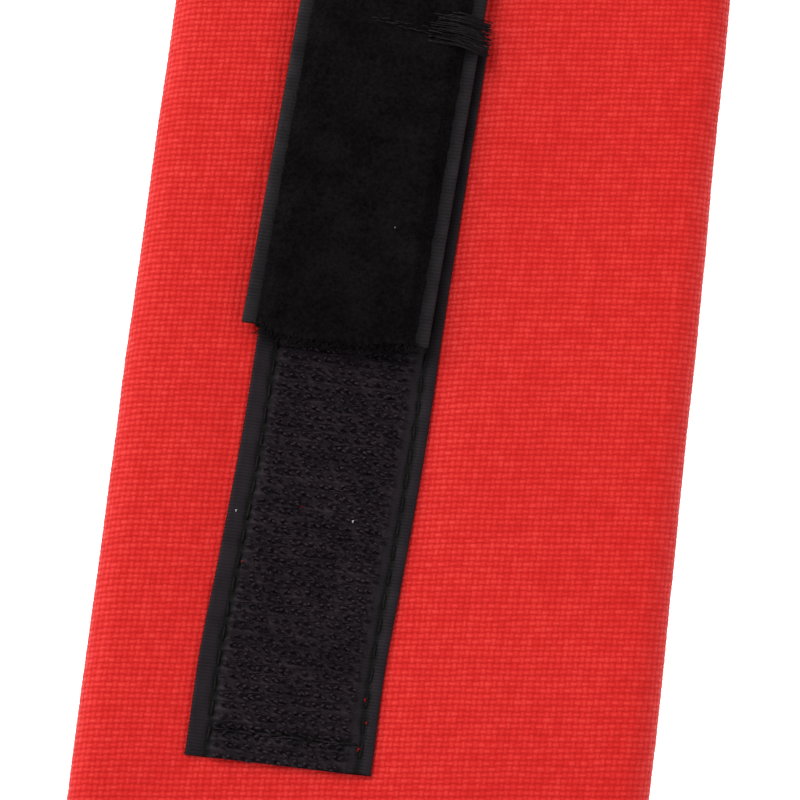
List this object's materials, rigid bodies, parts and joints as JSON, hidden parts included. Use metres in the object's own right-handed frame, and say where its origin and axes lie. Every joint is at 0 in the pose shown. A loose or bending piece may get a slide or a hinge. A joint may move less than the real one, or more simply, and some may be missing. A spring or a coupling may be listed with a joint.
{
  "type": "wrist pin cushion",
  "caption": "Flat padded cloth band worn on the wrist as a pin cushion, with a hook tape sewn on its outer face and a loop strap that folds back over it or wraps round to fasten.",
  "frame": {"origin": "middle of the flat wrist-side face of the band as it lies open, half way along it", "axes": "+Y along the band towards the end that the strap is sewn to, +X across it, +Z from the wrist side to the outer face"},
  "size_m": [0.062, 0.154, 0.0105],
  "materials": {
    "red_cloth": "red plain-woven coated polyester, coarse thread, slight sheen",
    "panel_cloth": "the same red plain-woven polyester on the wrist side",
    "red_thread": "red polyester sewing thread",
    "padding": "white soft polyester padding",
    "guard_plastic": "thin flexible translucent white plastic sheet",
    "black_tape": "black woven nylon tape with ribbed selvedges",
    "nylon_hooks": "rows of small black nylon hooks, slightly glossy",
    "black_thread": "black polyester sewing thread",
    "loop_pile": "black brushed nylon loop pile, dull and fuzzy"
  },
  "bodies": {
    "middle": {"outer_cover_middle": "red_cloth", "back_panel_middle": "panel_cloth", "back_stitches_middle": "red_thread", "cushion_pad_middle": "padding", "guard_plate_middle": "guard_plastic", "hook_tape_middle": "black_tape", "hook_field_middle": "nylon_hooks", "hook_tape_stitches_middle": "black_thread"},
    "hook_end": {"outer_cover_hook_end": "red_cloth", "back_panel_hook_end": "panel_cloth", "back_stitches_hook_end": "red_thread", "cushion_pad_hook_end": "padding", "guard_plate_hook_end": "guard_plastic", "end_closure_hook_end": "red_cloth", "end_stitches_hook_end": "red_thread", "hook_tape_hook_end": "black_tape", "hook_field_hook_end": "nylon_hooks", "hook_tape_stitches_hook_end": "black_thread"},
    "strap_end": {"outer_cover_strap_end": "red_cloth", "back_panel_strap_end": "panel_cloth", "back_stitches_strap_end": "red_thread", "cushion_pad_strap_end": "padding", "guard_plate_strap_end": "guard_plastic", "end_closure_strap_end": "red_cloth", "end_stitches_strap_end": "red_thread", "strap_root_pile": "loop_pile", "strap_root_tape": "black_tape", "strap_root_stitches": "black_thread"},
    "strap_turn": {"strap_turn": "loop_pile"},
    "strap_flap": {"strap_flap_tape": "black_tape", "strap_flap_pile": "loop_pile"},
    "strap_tip": {"strap_tip_tape": "black_tape", "strap_tip_pile": "loop_pile"}
  },
  "joints": [
    {"name": "hook_end_curl", "type": "hinge", "parent": "middle", "child": "hook_end", "pos_m": [0, -0.02, 0], "axis": [1, 0, 0], "range_deg": [0, 90]},
    {"name": "strap_end_curl", "type": "hinge", "parent": "middle", "child": "strap_end", "pos_m": [0, 0.02, 0], "axis": [-1, 0, 0], "range_deg": [0, 90]},
    {"name": "strap_fold", "type": "hinge", "parent": "strap_end", "child": "strap_turn", "pos_m": [-0.0036, 0.0772, 0.0087], "axis": [-1, 0, 0], "range_deg": [0, 178]},
    {"name": "strap_wrap", "type": "hinge", "parent": "strap_turn", "child": "strap_flap", "pos_m": [-0.0036, 0.0742, 0.0105], "axis": [-1, 0, 0], "range_deg": [0, 92]},
    {"name": "strap_tip_bend", "type": "hinge", "parent": "strap_flap", "child": "strap_tip", "pos_m": [-0.0068, 0.017, 0.0105], "axis": [-1, 0, 0], "range_deg": [0, 90]}
  ],
  "couplings": [
    {"joint": "strap_tip_bend", "follows": "strap_wrap", "ratio": 0.97}
  ]
}
